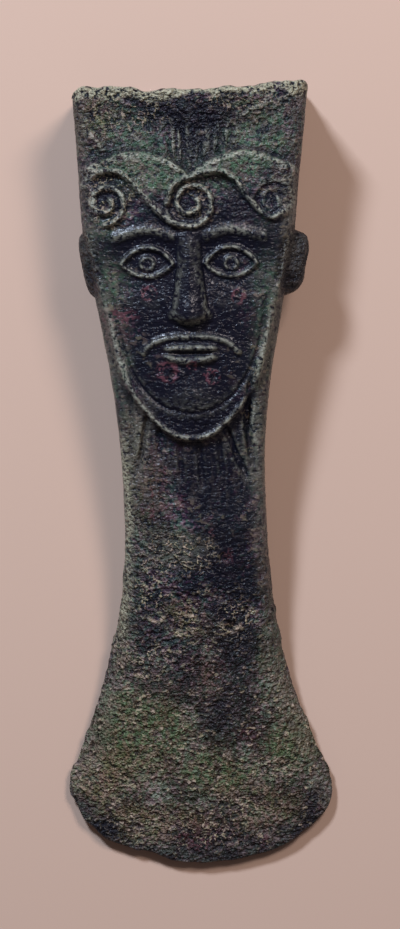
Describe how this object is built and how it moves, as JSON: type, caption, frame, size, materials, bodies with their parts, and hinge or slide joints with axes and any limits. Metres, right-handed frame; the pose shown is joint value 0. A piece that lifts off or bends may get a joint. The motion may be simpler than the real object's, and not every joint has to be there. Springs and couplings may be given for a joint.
{
  "type": "socketed axe head",
  "caption": "Cast bronze axe head with a hollow haft socket, a flared blade and a bearded head in relief on its front, with a dark green burial patina.",
  "frame": {"origin": "centre of the bounding box's bottom face, on the flat back that the axe lies on", "axes": "+Y towards the mouth of the haft socket, -Y towards the cutting edge, +Z out of the front with the relief, +X across the blade"},
  "size_m": [0.051, 0.15, 0.0233],
  "materials": {
    "bronze_patina": "cast tin bronze under a rough dark green and brown burial patina"
  },
  "bodies": {
    "root": {"axe_head": "bronze_patina"}
  },
  "joints": []
}
